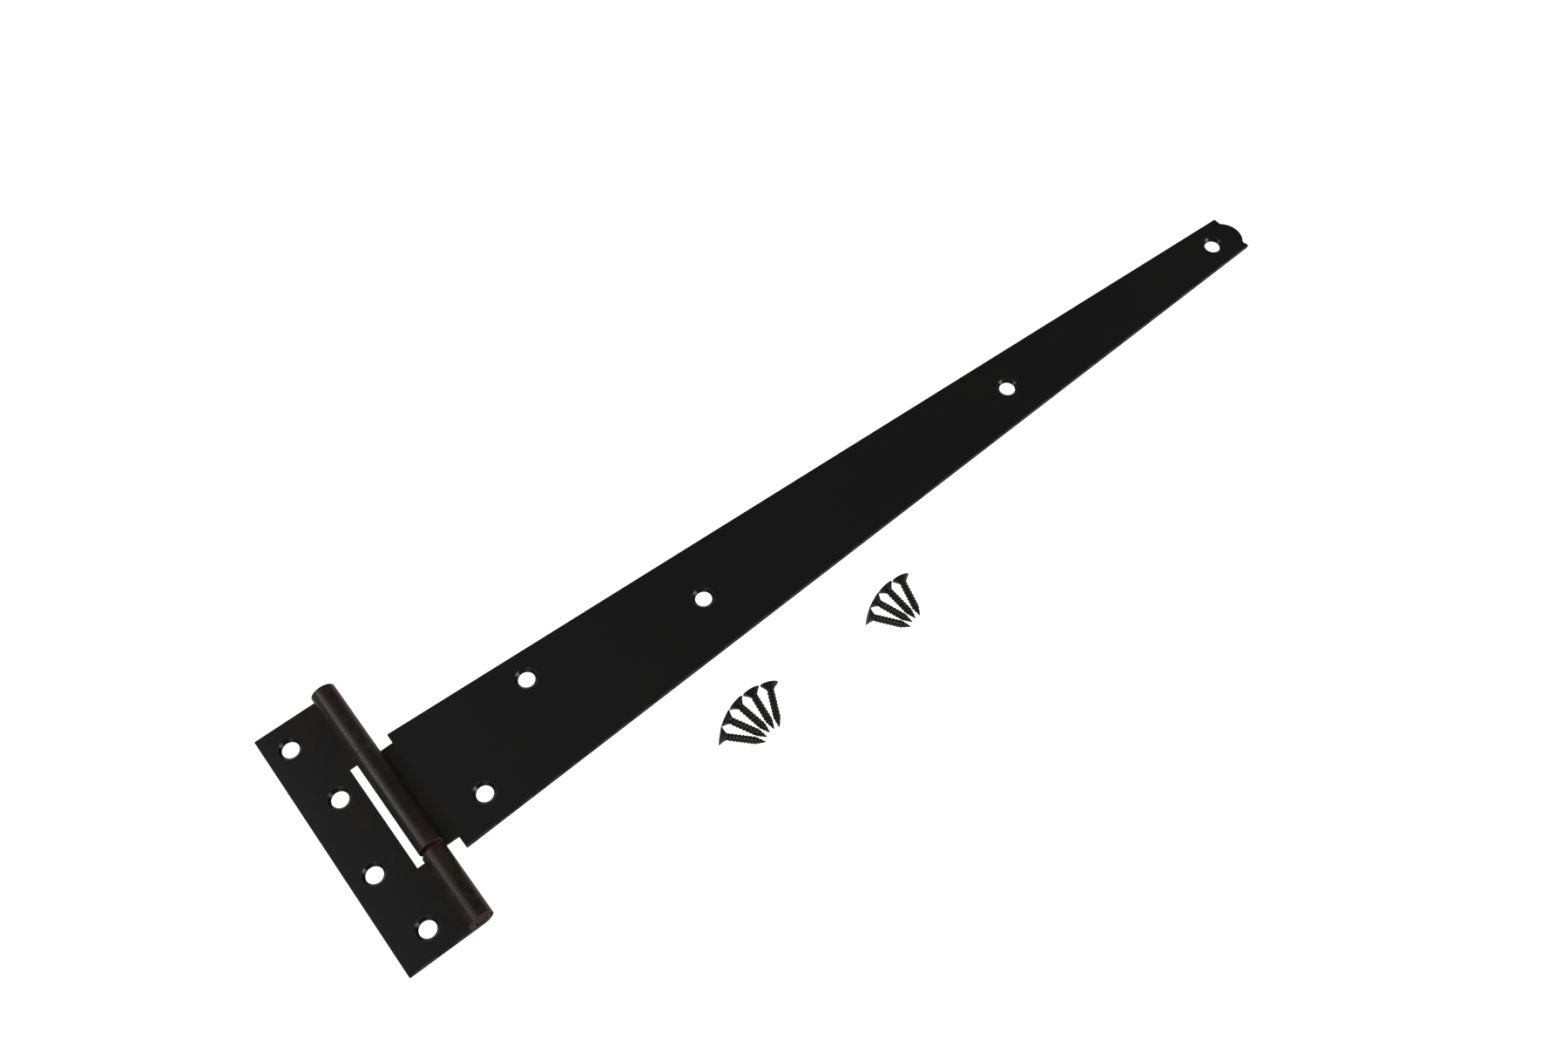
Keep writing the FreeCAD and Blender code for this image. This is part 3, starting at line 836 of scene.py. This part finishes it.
def makeProfile(name, stations):      # stations are along, radius, thread height in mm
    mesh = bpy.data.meshes.new(name)
    mesh.from_pydata([(along * mm, thread * mm, radius * mm) for along, radius, thread in stations],
                     [(i, i + 1) for i in range(len(stations) - 1)], [])
    maker = bpy.data.objects.new(name, mesh)
    scene.collection.objects.link(maker)
    return maker


def tidyTurned(piece, sharp):      # outward faces, and corners crisp above that many degrees
    bm = bmesh.new()
    bm.from_mesh(piece.data)
    bmesh.ops.recalc_face_normals(bm, faces=bm.faces[:])
    for face in bm.faces:
        face.smooth = True
    bm.to_mesh(piece.data)
    bm.free()
    piece.data.set_sharp_from_angle(angle=math.radians(sharp))


pinSizes = {
    "chamfer": 0.55,
    "crown": 0.12,
    "grip": 3.0,      # radius inside the flap's knuckles
    "relief": 0.05,      # and this much less inside the strap's
    "reliefHalf": 24.75,
    "faceSteps": 8,
    "chamferSteps": 6,
    "around": 96,
    "sharp": 50,
}


def makePin(sizes):
    low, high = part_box("hinge_pin")
    half, grip, chamfer = high.y / mm, sizes["grip"], sizes["chamfer"]
    faceSteps, chamferSteps, crown = sizes["faceSteps"], sizes["chamferSteps"], sizes["crown"]
    end = []
    for step in range(faceSteps + 1):      # slightly crowned end face, then a rounded chamfer
        radius = (grip - chamfer) * step / faceSteps
        end.append((crown * (step / faceSteps) ** 2, radius))
    for step in range(1, chamferSteps + 1):
        turn = math.pi / 2 * step / chamferSteps
        end.append((crown + chamfer * (1 - math.cos(turn)), grip - chamfer + chamfer * math.sin(turn)))
    reach, thin = sizes["reliefHalf"], grip - sizes["relief"]
    stations = [(along - half, radius, 0) for along, radius in end]
    stations += [(-reach, grip, 0), (-reach, thin, 0), (reach, thin, 0), (reach, grip, 0)]
    stations += [(half - along, radius, 0) for along, radius in reversed(end)]
    maker = makeProfile("pinProfile", stations)
    addTree(maker, turningTree, {
        "Stations": len(stations), "Around": sizes["around"], "Material": pinSteel})
    piece = settle(maker, "hingePinTurned", pinSteel, "flap", "hinge_pin")
    lift = (low.z + high.z) / 2
    piece.data.transform(Matrix.Translation((0, 0, lift)) @ Matrix.Rotation(math.pi / 2, 4, "Z"))
    tidyTurned(piece, sizes["sharp"])
    return piece


hingePin = makePin(pinSizes)
print("pin turned:", len(hingePin.data.polygons), "faces")


screwSizes = {
    "head": 3.6,      # radius
    "facePart": 0.72,      # inner ring of the face, as a share of the head
    "faceEdge": ((0.0, 0.16), (0.03, 0.06), (0.1, 0.01)),      # depth and inset round the face
    "rim": 0.35,
    "underEdge": (0.07, 0.05),      # depth and inset below the rim
    "coneShort": 0.3,
    "coneReach": 0.55,      # and on into the neck
    "coneShape": 1.28,      # above 1 hollows the cone towards the neck
    "coneSteps": 10,
    "core": 1.34,      # radius at the thread root
    "thread": 0.32,
    "rootShare": 0.25,
    "crestShape": 0.9,
    "pitch": 1.41,
    "threadStart": 2.9,
    "threadFade": 0.7,      # length over which the thread rises
    "pointStart": 13.8,
    "pointShape": 0.85,
    "pointThread": 0.25,      # share of the thread's height left at the point
    "pointFade": 4,      # the last quarter of the point loses that too
    "pointStop": 0.05,
    "length": 18.0,
    "perPitch": 13,
    "around": 40,
    "sharp": 42,
    "span": 4.1,
    "slot": 1.05,
    "depth": 1.6,
}


def screwStations(sizes):
    head, rim, core, coneSteps = sizes["head"], sizes["rim"], sizes["core"], sizes["coneSteps"]
    under, inset = sizes["underEdge"]
    stations = [(0, 0, 0), (0, head * sizes["facePart"], 0)]
    stations += [(deep, head - inwards, 0) for deep, inwards in sizes["faceEdge"]]
    stations += [(rim, head, 0), (rim + under, head - inset, 0)]
    coneEnd = rim + (head - core - sizes["coneShort"])
    for step in range(1, coneSteps):
        share = step / coneSteps
        along = rim + under + (coneEnd + sizes["coneReach"] - rim - under) * share
        radius = core + (head - inset - core) * (1 - share) ** sizes["coneShape"]
        stations.append((along, radius, 0))
    start, step, least = sizes["threadStart"], sizes["pitch"] / sizes["perPitch"], sizes["pointThread"]
    along, length, point = start, sizes["length"], sizes["pointStart"]
    while along < length - sizes["pointStop"]:
        rise = min(1.0, (along - start) / sizes["threadFade"])
        taper = min(1.0, (length - along) / (length - point))
        thread = sizes["thread"] * rise * (least + (1 - least) * taper)
        stations.append((along, core * taper ** sizes["pointShape"],
                         thread * min(1.0, taper * sizes["pointFade"])))
        along += step
    stations.append((length, 0, 0))
    return stations


def makeScrewPattern(sizes):
    stations = screwStations(sizes)
    maker = makeProfile("screwProfile", stations)
    addTree(maker, turningTree, {
        "Stations": len(stations), "Around": sizes["around"],
        "Pitch": sizes["pitch"] * mm, "Root Share": sizes["rootShare"],
        "Crest Shape": sizes["crestShape"], "Material": screwSteel})
    addTree(maker, recessTree, {
        "Span": sizes["span"] * mm, "Width": sizes["slot"] * mm, "Depth": sizes["depth"] * mm,
        "Material": screwSteel})
    return maker


def layScrew(node, roll):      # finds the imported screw's point and head face, and lies along them
    near = 0.00002
    spots = [vert.co for vert in frame["nodes"][node].data.vertices]
    middle = sum(spots, Vector()) / len(spots)
    tip = max(spots, key=lambda spot: (spot - middle).length)
    reach = max((spot - tip).length for spot in spots)
    ring = {tuple(round(part, 6) for part in spot)
            for spot in spots if (spot - tip).length > reach - near}
    face = sum((Vector(spot) for spot in ring), Vector()) / len(ring)
    maker = makeScrewPattern(screwSizes)
    piece = settle(maker, f"{node}Threaded", screwSteel, node, node)
    aim = Vector((-1, 0, 0)).rotation_difference(tip - face)
    turn = aim @ Quaternion((1, 0, 0), roll)
    piece.data.transform(Matrix.Translation(face) @ turn.to_matrix().to_4x4())
    tidyTurned(piece, screwSizes["sharp"])
    return piece


chance = random.Random(11)      # turns each loose screw about its own length
screwNodes = sorted(name for name in frame["nodes"] if "_screw_" in name)
for node in screwNodes:
    screw = layScrew(node, chance.uniform(0, math.pi / 2))
print("screws laid:", len(screwNodes), "of", len(screw.data.polygons), "faces each")


floorSizes = {
    "half": 4.0,
    "drop": 0.48,      # far enough down for the strap to hang at the end of its swing
    "glow": 1.0,      # keeps the sweep white right up to the pieces
    "bounce": 0.40,      # the part of that glow which lights the pieces
    "tone": 0.80,
}

lightRig = {
    "sky": 0.17,
    "backdrop": 1.0,      # how bright the empty room looks behind the floor
    "boxes": [      # name, direction from the hinge, distance, size, strength in watts
        ("highLeftBox", (-0.50, 0.42, 0.76), 1.3, (0.45, 0.9), 2.1),
        ("backLeftBox", (-0.72, 0.42, 0.56), 1.3, (0.30, 0.30), 2.4),
        ("lowLeftBox", (-0.80, -0.50, 0.38), 1.3, (0.7, 0.4), 0.9),
        ("lowFrontBox", (0.62, -0.70, 0.34), 2.0, (0.75, 0.40), 11.0),
    ],
    "aim": (0.12, 0.0, 0.0),
}


def makeFloor(sizes):
    half = sizes["half"]
    mesh = bpy.data.meshes.new("paleFloor")
    mesh.from_pydata([(-half, -half, 0), (half, -half, 0), (half, half, 0), (-half, half, 0)],
                     [], [(0, 1, 2, 3)])
    mesh.transform(Matrix.Translation((0, 0, -sizes["drop"])))
    floor = bpy.data.objects.new("paleFloor", mesh)
    scene.collection.objects.link(floor)
    material = bpy.data.materials.new("paleFloor")
    material.use_nodes = True
    tree = material.node_tree
    shader = tree.nodes["Principled BSDF"]
    shader.inputs["Base Color"].default_value = (sizes["tone"],) * 3 + (1,)
    shader.inputs["Roughness"].default_value = 1.0
    shader.inputs["Specular IOR Level"].default_value = 0.0
    shader.inputs["Emission Color"].default_value = (1, 1, 1, 1)
    seen = tree.nodes.new("ShaderNodeLightPath").outputs["Is Camera Ray"]
    glow = ramp(tree, seen, 0.0, 1.0, sizes["bounce"], sizes["glow"], shape="LINEAR")
    plug(tree, glow, shader.inputs["Emission Strength"])
    below = tree.nodes.new("ShaderNodeNewGeometry").outputs["Backfacing"]
    clear = tree.nodes.new("ShaderNodeBsdfTransparent").outputs[0]
    both = addNode(tree, "ShaderNodeMixShader", {0: below, 1: shader.outputs[0], 2: clear})
    tree.links.new(both.outputs[0], tree.nodes["Material Output"].inputs[0])
    mesh.materials.append(material)


def makeLights(rig):
    world = bpy.data.worlds.new("dimRoom")
    world.use_nodes = True
    room = world.node_tree
    room.nodes.clear()
    seen = room.nodes.new("ShaderNodeLightPath").outputs["Is Camera Ray"]
    backdrop = addNode(room, "ShaderNodeBackground", {
        "Color": (1, 1, 1, 1),
        "Strength": ramp(room, seen, 0.0, 1.0, rig["sky"], rig["backdrop"], shape="LINEAR")})
    room.links.new(backdrop.outputs[0], room.nodes.new("ShaderNodeOutputWorld").inputs[0])
    scene.world = world
    aim = Vector(rig["aim"])
    for name, way, distance, size, watts in rig["boxes"]:
        data = bpy.data.lights.new(name, "AREA")
        data.shape, data.size, data.size_y = "RECTANGLE", size[0], size[1]
        data.energy = watts
        light = bpy.data.objects.new(name, data)
        light.location = aim + Vector(way).normalized() * distance
        light.rotation_mode = "QUATERNION"
        light.rotation_quaternion = (aim - light.location).to_track_quat("-Z", "Y")
        scene.collection.objects.link(light)


makeFloor(floorSizes)
makeLights(lightRig)
print("floor and light set")

bpy.context.view_layer.update()
